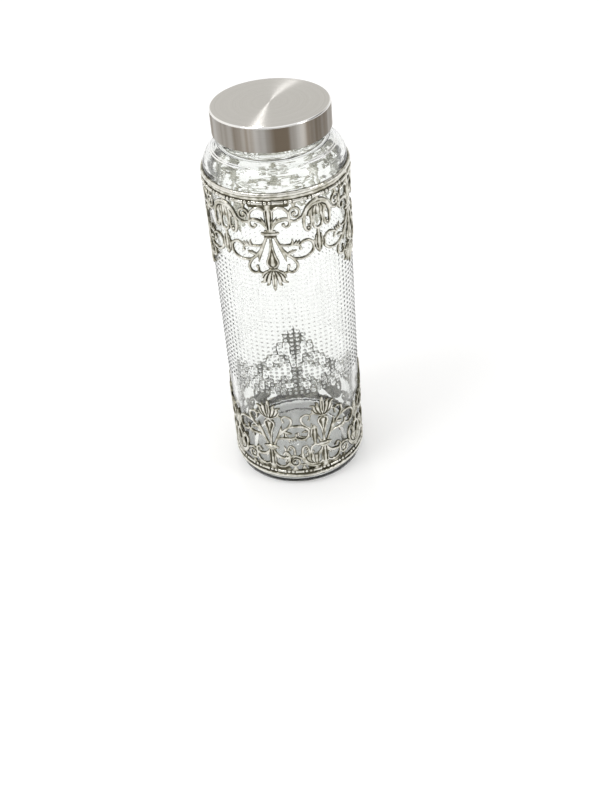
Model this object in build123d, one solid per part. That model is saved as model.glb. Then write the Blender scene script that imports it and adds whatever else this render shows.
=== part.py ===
from build123d import *
import math
import os

# A clear glass bottle with a steel screw cap and two pierced silver bands.
# Sizes are millimetres. The origin is the middle of the foot and +Z is up.

# Glass bottle
body_diameter = 75.0
glass_wall = 3.0
glass_height = 221.2
base_thickness = 8.0
base_bevel = 4.0
foot_bevel = 2.0
foot_ring_width = 6.0
push_up_depth = 2.2
push_up_slope_width = 3.0
shoulder_radius = 12.0
shoulder_slope = 30.0
shoulder_limit_share = 0.9
shoulder_facets = 3
neck_height = 15.9
neck_bead_stand = 1.6
neck_bead_height = 2.7
mouth_bevel = 0.8

# Screw cap: a steel shell over a plastic liner, with a silicone seal
cap_diameter = 61.5
cap_height = 13.4
cap_sheet = 0.5
cap_bevel = 0.9
liner_fit = 0.05
liner_wall = 1.8
liner_top = 1.2
thread_room = 1.1
seal_thickness = 1.4
seal_width = 4.4
seal_fit = 0.05

# Silver bands: a rim wire and the pierced strip that hangs from it
band_fit = 0.05
band_thickness = 1.25
rim_wire_height = 2.6
rim_wire_depth = 1.65
rim_wire_edge = 0.7
rim_joint = 0.05
upper_rim_drop = 1.5
lower_rim_height = 6.8
flange_height = 3.0
flange_thickness = 0.6
strip_depth = 55.1
scroll_wire = 1.35
upper_pitch_angle = 76.7
upper_first_angle = -85.6
lower_pitch_angle = 78.1
lower_first_angle = 21.3
pendant_count = 5
flat_count = 24

# The pattern, as shares of half a pitch along the band and of the strip's depth
# from the middle of the rim wire. Halves are mirrored about the pendant's axis.
spine_shares = [(0.06, 0.05), (0.095, 0.17), (0.05, 0.355), (0.18, 0.38), (0.035, 0.44),
                (0.13, 0.70), (0.045, 0.76), (0.155, 0.805), (0.265, 0.905), (0.15, 0.885),
                (0.125, 0.94), (0.07, 0.915), (0, 1)]
hook_shares = [(0.05, 0.14), (0.28, 0.13), (0.39, 0.23), (0.18, 0.26), (0.05, 0.345)]
hook_tip_shares = [(0.38, 0.23), (0.33, 0.325)]
strut_shares = [(0.06, 0.43), (0.125, 0.44), (0.35, 0.635), (0.28, 0.69)]
small_scroll_shares = [(0.33, 0.635), (0.48, 0.70), (0.45, 0.795), (0.12, 0.82)]
big_scroll_shares = [(0.15, 0.51), (0.74, 0.51), (0.86, 0.585), (0.72, 0.67), (0.50, 0.68),
                     (0.32, 0.63)]
arch_shares = [(0.38, 0.245), (0.58, 0.275), (0.80, 0.155), (1, 0.115)]
stalk_shares = [(0.63, 0.25), (0.52, 0.05)]
scroll_centre_share = 0.57
palmette_shares = [(0.035, 0.05), (0.035, 0.12), (0.27, 0.18), (0.215, 0.395), (0.135, 0.325),
                   (0.05, 0.41), (0.11, 0.59), (0, 0.665)]

# Sizes that follow from the ones above
body_radius = body_diameter / 2
bore_radius = body_radius - glass_wall
cap_radius = cap_diameter / 2
liner_radius = cap_radius - cap_sheet - liner_fit
liner_bore = liner_radius - liner_wall
neck_radius = liner_bore - thread_room
mouth_radius = neck_radius - glass_wall
bead_radius = neck_radius + neck_bead_stand
neck_root = glass_height - neck_height
slope = math.radians(shoulder_slope)
seal_base = glass_height + seal_fit
liner_ceiling = seal_base + seal_thickness + seal_fit
cap_top = liner_ceiling + liner_top + liner_fit + cap_sheet
cap_base = cap_top - cap_height
band_bore = body_radius + band_fit
band_radius = band_bore + band_thickness
shoulder_corner = neck_root - (body_radius - bead_radius) * math.tan(slope)
slope_length = (body_radius - bead_radius) / math.cos(slope)
shoulder_reach = math.tan((math.pi / 2 - slope) / 2)
shoulder_round = min(shoulder_radius, slope_length * shoulder_limit_share / shoulder_reach)
shoulder_start = shoulder_corner - shoulder_round * shoulder_reach
upper_rim_middle = shoulder_start - upper_rim_drop


def revolved(corners):
    """Turn a closed outline of (radius, height) corners about the bottle's axis."""
    return revolve(Plane.XZ * make_face(Polyline(*corners, close=True)), Axis.Z)


def rounded(corner, before, after, radius):
    """Points along the arc that rounds a corner off, towards its neighbours."""
    here = Vector(*corner)
    first, last = [(Vector(*other) - here).normalized() for other in (before, after)]
    inward = (first + last).normalized()
    half = first.get_angle(inward)
    centre = here + inward * (radius / math.sin(math.radians(half)))
    start = here + first * (radius / math.tan(math.radians(half)))
    turn = (start - centre).get_signed_angle(here - centre, Vector(0, 0, 1)) * 2
    arms = [(start - centre).rotate(Axis.Z, turn * step / shoulder_facets)
            for step in range(shoulder_facets + 1)]
    return [tuple(centre + arm)[:2] for arm in arms]


def bevelled(corner, before, after, size):
    """The two points that cut a corner off, towards its neighbours."""
    here = Vector(*corner)
    return [tuple(here + (Vector(*other) - here).normalized() * size)[:2]
            for other in (before, after)]


def glass_bottle():
    """One pressed glass wall from the pushed-up foot to the mouth."""
    inner_corner = shoulder_corner - glass_wall * (1 / math.cos(slope) - math.tan(slope))
    inner_neck = inner_corner + (bore_radius - mouth_radius) * math.tan(slope)
    bead_top = neck_root + neck_bead_height
    foot = (body_radius, 0)
    foot_ring = (body_radius - foot_bevel - foot_ring_width, 0)
    push_up = (foot_ring[0] - push_up_slope_width, push_up_depth)
    shoulder = (body_radius, shoulder_corner)
    bead = (bead_radius, bead_top)
    lip = (neck_radius, glass_height)
    mouth = (mouth_radius, glass_height)
    well = (bore_radius, base_thickness)
    bead_foot = (bead_radius, neck_root)
    neck = (neck_radius, bead_top)
    inner_shoulder = (bore_radius, inner_corner)
    throat = (mouth_radius, inner_neck)
    corners = [(0, push_up_depth), push_up, foot_ring]
    corners += bevelled(foot, foot_ring, shoulder, foot_bevel)
    corners += rounded(shoulder, foot, bead_foot, shoulder_round)
    corners += [bead_foot, bead, neck]
    corners += bevelled(lip, neck, mouth, mouth_bevel)
    corners += [mouth, throat, inner_shoulder]
    corners += bevelled(well, inner_shoulder, (0, base_thickness), base_bevel)
    corners += [(0, base_thickness)]
    return revolved(corners)


def cap_shell():
    """Pressed steel shell with a bevelled top edge."""
    inside = cap_radius - cap_sheet
    ceiling = cap_top - cap_sheet
    corners = [(0, cap_top)]
    corners += bevelled((cap_radius, cap_top), (0, cap_top), (cap_radius, cap_base), cap_bevel)
    corners += [(cap_radius, cap_base), (inside, cap_base), (inside, ceiling), (0, ceiling)]
    return revolved(corners)


def cap_liner():
    """Plastic cup that carries the thread inside the steel shell."""
    foot = cap_base + cap_sheet + liner_fit
    top = liner_ceiling + liner_top
    corners = [(0, top), (liner_radius, top), (liner_radius, foot), (liner_bore, foot),
               (liner_bore, liner_ceiling), (0, liner_ceiling)]
    return revolved(corners)


def cap_seal():
    """Flat silicone ring between the mouth of the bottle and the liner."""
    outside = liner_bore - seal_fit
    washer = Circle(outside) - Circle(outside - seal_width)
    return extrude(Pos(0, 0, seal_base) * washer, seal_thickness)


def rim_wire(middle):
    """Heavy plain wire, flat against the glass, along the edge of a strip."""
    half = rim_wire_height / 2
    outside = band_bore + rim_wire_depth
    corners = [
        (band_bore, middle - half),
        (outside, middle - half + rim_wire_edge),
        (outside, middle + half - rim_wire_edge),
        (band_bore, middle + half),
    ]
    return revolved(corners)


class Strip:
    """The pierced pattern of one band, laid round the bottle piece by piece."""

    def __init__(self, middle, down, pitch_angle, first_angle):
        self.middle = middle
        self.down = down
        self.pitch_angle = pitch_angle
        self.half_pitch = math.radians(pitch_angle / 2) * band_radius
        self.first_angle = first_angle

    def place(self, share, side=1, centre=0):
        """Flat place of a share, on the plane that touches the band at centre."""
        arc = (share[0] - centre) * self.half_pitch
        return side * band_radius * math.sin(arc / band_radius), share[1] * strip_depth

    def wire(self, shares, side=1, centre=0):
        """A scroll: an even wire along the given places."""
        path = [Vector(*self.place(share, side, centre)) for share in shares]
        left, right = [], []
        for index, point in enumerate(path):
            run = path[min(index + 1, len(path) - 1)] - path[max(index - 1, 0)]
            across = run.normalized().rotate(Axis.Z, 90) * (scroll_wire / 2)
            left.append(point + across)
            right.insert(0, point - across)
        return self.leaf(left + right)

    def leaf(self, places):
        """A solid patch of the pattern with the given corners."""
        corners = [(x, -self.down * depth) for x, depth in [tuple(p)[:2] for p in places]]
        return make_face(Polyline(*corners, close=True))

    def patch(self, shares, side=1, centre=0):
        return self.leaf([self.place(share, side, centre) for share in shares])

    def mirrored_patch(self, shares):
        """A patch whose other half mirrors the given one."""
        near = [self.place(share) for share in shares]
        far = [self.place(share, -1) for share in reversed(shares) if share[0] > 0]
        return self.leaf(near + far)

    def raised(self, faces, angle):
        """Lift flat faces off the plane at an angle and bend them to the band."""
        turn = math.radians(angle)
        out = Vector(math.sin(turn), -math.cos(turn), 0)
        plane = Plane(origin=(0, 0, self.middle), x_dir=out.rotate(Axis.Z, 90), z_dir=out)
        flat = Sketch() + faces
        return extrude(plane * flat, band_radius * 2, dir=out)

    def pendant(self):
        faces = [self.mirrored_patch(spine_shares)]
        for side in (1, -1):
            for shares in (hook_shares, hook_tip_shares, small_scroll_shares):
                faces.append(self.wire(shares, side))
            faces.append(self.patch(strut_shares, side))
        return faces

    def big_scroll(self, side, centre):
        return [self.wire(big_scroll_shares, side, centre)]

    def arch(self, side, centre):
        return [self.wire(shares, side, centre) for shares in (arch_shares, stalk_shares)]


def pierced_strip(strip):
    """Pierced gallery strip: a plain edge with five pendants hanging from it."""
    solids = []
    centre = scroll_centre_share
    for number in range(pendant_count):
        angle = strip.first_angle + number * strip.pitch_angle
        solids.append(strip.raised(strip.pendant(), angle))
        palmette = strip.mirrored_patch(palmette_shares)
        solids.append(strip.raised([palmette], angle + strip.pitch_angle / 2))
        for side in (1, -1):
            faces = strip.big_scroll(side, centre)
            if side == 1 or number > 0:
                faces += strip.arch(side, centre)
            solids.append(strip.raised(faces, angle + side * centre * strip.pitch_angle / 2))
    shell = Pos(0, 0, strip.middle) * ring(band_bore, band_thickness, strip_depth * 2)
    pattern = [shell & solid for solid in solids]
    return flange(strip).fuse(*pattern)


def ring(bore, thickness, height):
    """A ring bent in short flats, as the strip is where it is laid round the glass."""
    outside = RegularPolygon(bore + thickness, flat_count, major_radius=False)
    inside = RegularPolygon(bore, flat_count, major_radius=False)
    return extrude(outside - inside, height / 2, both=True)


def flange(strip):
    """Plain edge that joins the pendants along the rim wire."""
    drop = rim_wire_height / 2 + rim_joint + flange_height / 2
    return Pos(0, 0, strip.middle - strip.down * drop) * ring(band_bore, flange_thickness,
                                                              flange_height)


strips = {
    "upper": Strip(upper_rim_middle, 1, upper_pitch_angle, upper_first_angle),
    "lower": Strip(lower_rim_height, -1, lower_pitch_angle, lower_first_angle),
}
nodes = {
    "glass_bottle": glass_bottle(),
    "cap_shell": cap_shell(),
    "cap_liner": cap_liner(),
    "cap_seal": cap_seal(),
}
for name, strip in strips.items():
    nodes[name + "_rim_wire"] = rim_wire(strip.middle)
    nodes[name + "_filigree"] = pierced_strip(strip)

os.makedirs("parts", exist_ok=True)
for name, solid in nodes.items():
    export_step(solid, os.path.join("parts", name + ".step"))
    print(name, len(solid.solids()), round(solid.volume, 1))
print("cap base", round(cap_base, 2), "top", round(cap_top, 2))
print("shoulder start", round(shoulder_start, 2), "upper rim", round(upper_rim_middle, 2))
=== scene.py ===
import math

import bmesh
import bpy
import numpy as np
from mathutils import Euler, Matrix, Vector


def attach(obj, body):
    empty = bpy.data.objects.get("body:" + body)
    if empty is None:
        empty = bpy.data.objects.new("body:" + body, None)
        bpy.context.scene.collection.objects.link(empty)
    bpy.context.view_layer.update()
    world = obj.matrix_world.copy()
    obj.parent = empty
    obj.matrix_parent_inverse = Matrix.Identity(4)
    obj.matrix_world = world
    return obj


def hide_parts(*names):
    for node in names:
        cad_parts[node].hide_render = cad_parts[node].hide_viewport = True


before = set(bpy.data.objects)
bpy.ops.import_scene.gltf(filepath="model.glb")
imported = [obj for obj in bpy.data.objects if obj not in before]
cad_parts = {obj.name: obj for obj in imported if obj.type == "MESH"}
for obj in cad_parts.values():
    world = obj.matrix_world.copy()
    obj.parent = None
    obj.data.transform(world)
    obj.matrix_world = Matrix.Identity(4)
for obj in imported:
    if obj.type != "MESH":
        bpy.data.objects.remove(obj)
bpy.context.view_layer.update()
mm = 0.001
fullTurn = 2 * math.pi
print("frame loaded:", len(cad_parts), "nodes")


# node trees: sockets as Python values

def between(operation, swapped=False):  # an operator for two sockets, or a socket and a number
    def made(flow, other):
        return flow.bench.maths(operation, *((other, flow) if swapped else (flow, other)))
    return made


class Flow:  # one output socket that can be added, multiplied and so on

    def __init__(self, bench, socket):
        self.bench = bench
        self.socket = socket

    __add__ = __radd__ = between("ADD")
    __sub__ = between("SUBTRACT")
    __rsub__ = between("SUBTRACT", True)
    __mul__ = __rmul__ = between("MULTIPLY")
    __truediv__ = between("DIVIDE")
    __gt__ = between("GREATER_THAN")
    __lt__ = between("LESS_THAN")


def maker(kind, *labels):  # a method that adds one kind of node, its inputs in this order
    def made(bench, *values):
        return bench.node(kind, **dict(zip(labels, values)))
    return made


class Bench:  # builds nodes in one tree

    def __init__(self, tree):
        self.tree = tree

    combine = maker("ShaderNodeCombineXYZ", "X", "Y", "Z")
    noise = maker("ShaderNodeTexNoise", "Vector", "Scale", "Detail", "Roughness")
    bump = maker("ShaderNodeBump", "Height", "Distance", "Normal")
    line = maker("GeometryNodeMeshLine", "Count", "Offset", "Start Location")
    onPoints = maker("GeometryNodeInstanceOnPoints", "Points", "Instance")
    moved = maker("GeometryNodeSetPosition", "Geometry", "Position")
    merged = maker("GeometryNodeMergeByDistance", "Geometry", "Distance")
    realized = maker("GeometryNodeRealizeInstances", "Geometry")

    def plug(self, value, socket):
        if isinstance(value, Flow):
            self.tree.links.new(value.socket, socket)
        elif value is not None:
            socket.default_value = value

    def node(self, kind, *first, settings=None, out=0, **named):
        # the first inputs in their order, the others by name
        made = self.tree.nodes.new(kind)
        for name, value in (settings or {}).items():
            setattr(made, name, value)
        for name, value in [*enumerate(first), *named.items()]:
            self.plug(value, made.inputs[name])
        return Flow(self, made.outputs[out])

    def maths(self, operation, *terms):
        return self.node("ShaderNodeMath", *terms, settings={"operation": operation})

    def clamp(self, value, low=0.0, high=1.0):
        return self.maths("MINIMUM", self.maths("MAXIMUM", value, low), high)

    def smooth(self, value, low, high):
        settings = {"interpolation_type": "SMOOTHSTEP"}
        return self.node("ShaderNodeMapRange", value, low, high, settings=settings)

    def colours(self, share, first, second, blend="MIX"):
        settings = {"data_type": "RGBA", "blend_type": blend}
        mixed = self.node("ShaderNodeMix", share, settings=settings, out=2)
        for socket, value in ((6, first), (7, second)):  # its two colour inputs
            self.plug(value, mixed.socket.node.inputs[socket])
        return mixed

    def ramp(self, share, stops):
        made = self.node("ShaderNodeValToRGB", share)
        elements = made.socket.node.color_ramp.elements
        while len(elements) < len(stops):
            elements.new(0.5)
        for element, (place, colour) in zip(elements, stops):
            element.position = place
            element.color = colour
        return made

    def split(self, vector):
        return [self.node("ShaderNodeSeparateXYZ", vector, out=axis) for axis in range(3)]

    def joined(self, *shapes):
        whole = self.node("GeometryNodeJoinGeometry")
        for shape in shapes:
            self.plug(shape, whole.socket.node.inputs[0])
        return whole

    def stored(self, shape, kind, name, value):
        return self.node("GeometryNodeStoreNamedAttribute", Geometry=shape, Name=name,
                         Value=value, settings={"data_type": kind, "domain": "POINT"})

    def position(self):
        return self.split(self.node("GeometryNodeInputPosition"))

    def roundAxis(self, out, turn, height):
        return self.combine(out * self.maths("SINE", turn),
                            -1.0 * (out * self.maths("COSINE", turn)), height)


def newMaterial(name, constants):
    # a Principled material with its fixed values set on the shader's own sockets
    material = bpy.data.materials.new(name)
    material.use_nodes = True
    bench = Bench(material.node_tree)
    sockets = material.node_tree.nodes["Principled BSDF"].inputs
    for socket, value in constants.items():
        sockets[socket].default_value = value
    place = bench.node("ShaderNodeTexCoord", out="Object")
    return material, bench, sockets, place


# finishes: a noise has its size per metre, detail and roughness; depths are in metres

glassLook = {
    "constants": {"Base Color": (0.955, 0.965, 0.955, 1), "Transmission Weight": 1.0, "IOR": 1.5},
    "wave": (55.0, 1.5), "waveStretch": (1, 1, 0.45), "waveDepth": 0.00022,  # as pressed glass has
    "fineSize": 240.0, "fineDepth": 0.00003, "fineRoughness": 0.02,
    "rippleFoot": 0.191, "rippleTop": 0.2065,  # the shoulder's ripples lie between these heights
    "rippleIn": 0.004, "rippleOut": 0.002, "rippleSlope": 0.6, "ripple": (1.0, 2.0, 0.6),
    "rippleAcross": 300.0, "rippleRound": 1.3, "rippleInwards": 90.0, "rippleDepth": 0.00022,
}


def pressedGlass():
    look = glassLook
    material, bench, sockets, place = newMaterial("pressedGlass", look["constants"])
    stretched = bench.node("ShaderNodeMapping", Vector=place, Scale=look["waveStretch"])
    wave = bench.noise(stretched, *look["wave"])
    fine = bench.noise(place, look["fineSize"])
    worked = bench.bump(fine, look["fineDepth"], bench.bump(wave, look["waveDepth"]))
    x, y, z = bench.split(place)
    radius = bench.maths("SQRT", x * x + y * y)
    slope = (z - radius * look["rippleSlope"]) * look["rippleAcross"]
    sweep = bench.maths("ARCTAN2", x, y) * look["rippleRound"]
    along = bench.combine(slope, sweep, radius * look["rippleInwards"])
    foot, top = look["rippleFoot"], look["rippleTop"]
    zone = (bench.smooth(z, foot, foot + look["rippleIn"])
            * (1 - bench.smooth(z, top - look["rippleOut"], top)))
    ripple = bench.noise(along, *look["ripple"]) * zone
    bench.plug(bench.bump(ripple, look["rippleDepth"], worked), sockets["Normal"])
    bench.plug(fine * look["fineRoughness"], sockets["Roughness"])
    return material


silverLook = {
    "constants": {"Metallic": 1.0},
    # the tones run from tarnish and painted shade in the recesses to a painted highlight on the
    # crests
    "tones": [(0.10, (0.085, 0.078, 0.053, 1)),  # of the recesses, the dull metal, the crests
              (0.42, (0.41, 0.394, 0.322, 1)),
              (0.90, (0.77, 0.758, 0.705, 1))],
    "grain": (900.0, 3.0, 0.6), "cloud": (130.0, 3.0, 0.5), "cast": (420.0, 1.5, 0.5),
    # the noise below paints glints: bright patches among darker ones along the strokes
    "wear": (270.0, 1.0, 0.5),
    "shares": {"grain": 0.3, "cloud": 0.6, "cast": 0.6, "wear": 1.5},  # in the tone
    "grainDepth": 0.00006, "castDepth": 0.0004,
    "roughness": 0.25, "crestPolish": 0.14, "cloudRoughness": 0.08,
}


def bandSilver():
    look = silverLook
    material, bench, sockets, place = newMaterial("stripSilver", look["constants"])
    # the point attribute read here is tarnish with painted shade in the hollows and a painted
    # highlight on the crests
    tarnishAndPaintedLight = bench.node("ShaderNodeAttribute", settings={"attribute_name": "tarnishAndPaintedLight"}, out="Fac")
    noises = {name: bench.noise(place, *look[name]) for name in look["shares"]}
    tone = tarnishAndPaintedLight
    for name, share in look["shares"].items():
        tone = tone + (noises[name] - 0.5) * share
    bench.plug(bench.ramp(tone, look["tones"]), sockets["Base Color"])
    bench.plug(look["roughness"] - tarnishAndPaintedLight * look["crestPolish"]
               + noises["cloud"] * look["cloudRoughness"], sockets["Roughness"])
    uneven = bench.bump(noises["cast"], look["castDepth"])
    bench.plug(bench.bump(noises["grain"], look["grainDepth"], uneven), sockets["Normal"])
    return material


steelLook = {
    "constants": {"Metallic": 1.0, "Anisotropic": 1.0, "Anisotropic Rotation": 0.25},
    "light": (0.64, 0.625, 0.60, 1), "dark": (0.575, 0.56, 0.535, 1),
    "rings": (5200.0, 2.0, 0.7), "broadRings": (1300.0, 3.0, 0.6),
    "ringShare": 0.6, "ringTones": (0.3, 0.7), "ringDepth": 0.000008, "patchSize": 60.0,
    # the colour of the painted highlight along the top's rounded edge
    "edge": (0.94, 0.93, 0.91, 1),
    "edgeRadius": 0.0298, "edgeFade": 0.0004,  # outside this the top's rounded edge takes a painted highlight
    "sideTop": 0.2236,  # below this height the side's coarser brushing starts
    "sideShade": (0.115, 0.062, 0.008, 1),
    "sideLeast": 0.14, "sideMore": 0.62,  # of the painted shade: everywhere on the side, and more in a painted reflection band
    # painted reflection bands round the side
    "sideBands": 3.1, "reflectionBandStart": 3.0, "reflectionBandNoise": (1.0, 2.5, 0.55), "reflectionBands": (0.36, 0.62),
    "roughness": 0.095, "sideRoughness": 0.355, "patchRoughness": 0.02,
}


def spunSteel():
    look = steelLook
    material, bench, sockets, place = newMaterial("spunSteel", look["constants"])
    x, y, z = bench.split(place)
    radius = bench.maths("SQRT", x * x + y * y)
    # the marks of the wheel run in circles: they vary with radius and height only
    across = bench.combine(radius, z)
    rings = bench.noise(across, *look["rings"])
    broad = bench.noise(across, *look["broadRings"])
    patch = bench.noise(place, look["patchSize"])
    tone = bench.clamp(rings * look["ringShare"] + broad * (1 - look["ringShare"]))
    tone = bench.smooth(tone, *look["ringTones"])
    colour = bench.colours(tone, look["dark"], look["light"])
    onSide = z < look["sideTop"]
    # painted highlight along the top's rounded edge
    paintedEdgeHighlight = bench.smooth(radius, look["edgeRadius"], look["edgeRadius"] + look["edgeFade"])
    colour = bench.colours(paintedEdgeHighlight * (1 - onSide), colour, look["edge"])
    # painted shade on the side, deeper in painted reflection bands round it
    spread = look["sideBands"]
    around = bench.combine(x / radius * spread, y / radius * spread, look["reflectionBandStart"])
    reflectionBands = bench.smooth(bench.noise(around, *look["reflectionBandNoise"]), *look["reflectionBands"])
    share = onSide * (look["sideLeast"] + reflectionBands * look["sideMore"])
    bench.plug(bench.colours(share, colour, look["sideShade"]), sockets["Base Color"])
    bench.plug(look["roughness"] + onSide * look["sideRoughness"]
               + patch * look["patchRoughness"], sockets["Roughness"])
    bench.plug(bench.bump(rings, look["ringDepth"]), sockets["Normal"])
    return material


linerLook = {
    "constants": {"IOR": 1.49},
    "dark": (0.80, 0.80, 0.78, 1), "light": (0.88, 0.88, 0.86, 1),
    "cloud": (90.0, 3.0), "roughness": 0.42, "cloudRoughness": 0.12,
    "fineSize": 1600.0, "fineDepth": 0.00002,
}

sealLook = {
    "constants": {"IOR": 1.41, "Transmission Weight": 0.35},
    "dark": (0.80, 0.81, 0.80, 1), "light": (0.90, 0.91, 0.90, 1),
    "cloud": (160.0, 3.0), "roughness": 0.40, "cloudRoughness": 0.2,
}


def moulded(name, look):
    material, bench, sockets, place = newMaterial(name, look["constants"])
    cloud = bench.noise(place, *look["cloud"])
    bench.plug(bench.colours(cloud, look["dark"], look["light"]), sockets["Base Color"])
    bench.plug(look["roughness"] + cloud * look["cloudRoughness"], sockets["Roughness"])
    if "fineSize" in look:
        fine = bench.noise(place, look["fineSize"])
        bench.plug(bench.bump(fine, look["fineDepth"]), sockets["Normal"])
    return material


glass = pressedGlass()
stripSilver = bandSilver()
steel = spunSteel()
linerPlastic = moulded("whiteLiner", linerLook)
sealRubber = moulded("clearSeal", sealLook)
print("finishes made")


# turned pieces, in millimetres

def rounded(corners, step=12):
    # (radius, height, rounding) corners to points, one for every step of that many degrees
    points = []
    for index, size in enumerate(corner[2] for corner in corners):
        before, here, after = [np.array(corners[i % len(corners)][:2], float)
                               for i in (index - 1, index, index + 1)]
        if not size:  # it stays sharp
            points.append(here)
            continue
        before, after = [(p - here) / np.linalg.norm(p - here) for p in (before, after)]
        half = math.acos(np.clip(before @ after, -1, 1)) / 2
        bisector = (before + after) / np.linalg.norm(before + after)
        centre = here + bisector * size / math.sin(half)
        sweep = math.pi - 2 * half
        count = max(2, int(round(math.degrees(sweep) / step)))
        side = np.array([-bisector[1], bisector[0]])
        if side @ before < 0:
            side = -side
        for turn in np.linspace(sweep / 2, -sweep / 2, count + 1):
            points.append(centre - bisector * size * math.cos(turn) + side * size * math.sin(turn))
    return points


def newObject(name, data):
    made = bpy.data.objects.new(name, data)
    bpy.context.scene.collection.objects.link(made)
    return made


def meshPiece(name, points, faces, material):
    mesh = bpy.data.meshes.new(name)
    mesh.from_pydata([tuple(p) for p in points], [], [tuple(f) for f in faces])
    mesh.validate()
    mesh.materials.append(material)
    mesh.shade_smooth()
    return newObject(name, mesh)


def outwards(piece, weld=2e-6):
    # makes one point of those that coincide and turns the faces' fronts outwards
    form = bmesh.new()
    form.from_mesh(piece.data)
    bmesh.ops.remove_doubles(form, verts=form.verts, dist=weld)
    bmesh.ops.recalc_face_normals(form, faces=form.faces)
    form.to_mesh(piece.data)
    form.free()
    piece.data.update()


def shaded(piece, angle=40):
    # smooth, with edges kept sharp above the angle
    piece.data.shade_smooth()
    piece.data.set_sharp_from_angle(angle=math.radians(angle))


def lathe(outline, columns, push=None, skip=None, start=0.0):
    # closed outline of (radius, height); a radius of 0 is one point on the axis
    points, rows, faces = [], [], []
    turns = start + np.arange(columns) * fullTurn / columns
    for radius, height in outline:
        if radius == 0:
            rows.append([len(points)] * columns)
            points.append((0, 0, height * mm))
            continue
        radii, heights = np.full(columns, radius), np.full(columns, height)
        if push:
            radii, heights = push(radii, heights, turns)
        rows.append(list(range(len(points), len(points) + columns)))
        points += [(r * math.sin(turn) * mm, -r * math.cos(turn) * mm, z * mm)
                   for r, turn, z in zip(radii, turns, heights)]
    closed = outline[0][0] != 0
    for index in range(len(rows) if closed else len(rows) - 1):
        if skip == index:
            continue
        low, high = rows[index], rows[(index + 1) % len(rows)]
        for column in range(columns):
            after = (column + 1) % columns
            face = [low[column], low[after], high[after], high[column]]
            kept = [v for i, v in enumerate(face) if v != face[i - 1]]
            if len(kept) > 2:
                faces.append(kept)
    return points, faces


def turnedPiece(name, corners, columns, material, push=None):
    points, faces = lathe(rounded(corners), columns, push)
    piece = meshPiece(name, points, faces, material)
    outwards(piece)
    return piece


thread = {
    "pitch": 4.2, "steepness": 1.9,
    "runOut": 0.09,  # turns over which each end fades
    # rise from the wall, half width, height of its middle at the front, turns, rows that have it
    "neck": (0.85, 1.0, 211.6, 1.5, (208.7, 219.9)),
    "cap": (-0.8, 0.85, 213.75, 1.4, (212.0, 220.8)),
}


def threadPush(wall, rise, halfWidth, start, turnCount, reach):
    # a helix raised from the wall of that radius, faded out at its two ends
    def push(radii, heights, turns):
        if abs(radii[0] - wall) > 0.01 or not reach[0] < heights[0] < reach[1]:
            return radii, heights
        best = np.zeros_like(radii)
        for extra in range(-1, int(turnCount) + 2):
            along = turns / fullTurn + extra
            middle = start + thread["pitch"] * along
            share = np.clip(1 - np.abs(heights - middle) / halfWidth, 0, 1)
            crest = np.clip(share * thread["steepness"], 0, 1)
            ends = (np.clip(along / thread["runOut"], 0, 1)
                    * np.clip((turnCount - along) / thread["runOut"], 0, 1))
            best = np.maximum(best, (3 * crest**2 - 2 * crest**3) * ends)
        return radii + rise * best, heights
    return push


glassForm = {
    "columns": 144, "sharpAbove": 50,
    "foot": [(0, 2.2, 0), (23.0, 2.2, 0), (26.5, 2.1, 1.5), (29.4, 0, 0.8)],
    "footRounding": 2.2,
    "wallRadius": 37.5, "boreRadius": 34.5, "wallThickness": 3.0,
    "wallRows": (30, 58), "boreRows": (170, 130, 90, 50),  # heights that keep the faces short
    "shoulderRadius": 12.0, "shoulderSlope": 30.0, "shoulderRow": 172,
    "lines": 8,  # fine turned lines at the top of the shoulder
    "lineStep": 0.48, "lineReach": 3.8, "lineDepth": 0.10, "lineRoom": 4.2,
    "neckRoot": 205.3, "beadRadius": 28.9, "beadTop": 208.0,
    "neckRadius": 27.3, "neckRows": (208.6, 220.0, 0.33), "mouthRadius": 24.3,
    "mouthFoot": 212, "height": 221.2,
    # roundings of the corners
    "beadEdge": 0.9, "beadRoot": 0.4, "lip": 1.3, "innerNeck": 2.4, "innerShoulder": 9.0,
    "inside": [(34.5, 8.0, 4.5), (16, 7.5, 0), (0, 7.4, 0)],
    "studColumns": 72, "studRows": 30, "studPitch": 2.8, "studFoot": 66.6,
    "studRadius": 0.86, "studRise": 0.28, "studWeld": 0.00001,
    "studProfile": ((1.18, 0.0), (1.0, 0.04), (0.72, 0.55), (0.38, 0.90)),
}


def glassOutline():
    g = glassForm
    wall, bore, bead, neck, mouth = [g[name + "Radius"] for name in
                                     ("wall", "bore", "bead", "neck", "mouth")]
    angle = math.radians(g["shoulderSlope"])
    slope, root = math.tan(angle), g["neckRoot"]
    corner = root - (wall - bead) * slope
    innerCorner = corner - g["wallThickness"] * (1 / math.cos(angle) - slope)
    innerNeck = innerCorner + (bore - mouth) * slope
    studTop = g["studFoot"] + g["studRows"] * g["studPitch"]
    lower = [*g["foot"], (wall, 0, g["footRounding"])]
    lower += [(wall, z, 0) for z in (*g["wallRows"], g["studFoot"])]
    upper = [(wall, studTop, 0), (wall, g["shoulderRow"], 0), (wall, corner, g["shoulderRadius"]),
             (bead + g["lineRoom"], root - g["lineRoom"] * slope, 0)]
    for index in range(g["lines"]):
        out = g["lineReach"] - index * g["lineStep"]
        lift = g["lineDepth"] if index % 2 else -g["lineDepth"]
        upper.append((bead + out, root - out * slope + lift, 0))
    upper += [(bead, root, 0), (bead, g["beadTop"], g["beadEdge"]),
              (neck, g["beadTop"], g["beadRoot"])]
    upper += [(neck, z, 0) for z in np.arange(*g["neckRows"])]
    upper += [(r, g["height"], g["lip"]) for r in (neck, mouth)]
    upper += [(mouth, g["mouthFoot"], 0), (mouth, innerNeck, g["innerNeck"]),
              (bore, innerCorner, g["innerShoulder"])]
    upper += [(bore, z, 0) for z in g["boreRows"]]
    first = rounded(lower)
    return first + rounded(upper + g["inside"]), len(first) - 1


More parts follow.
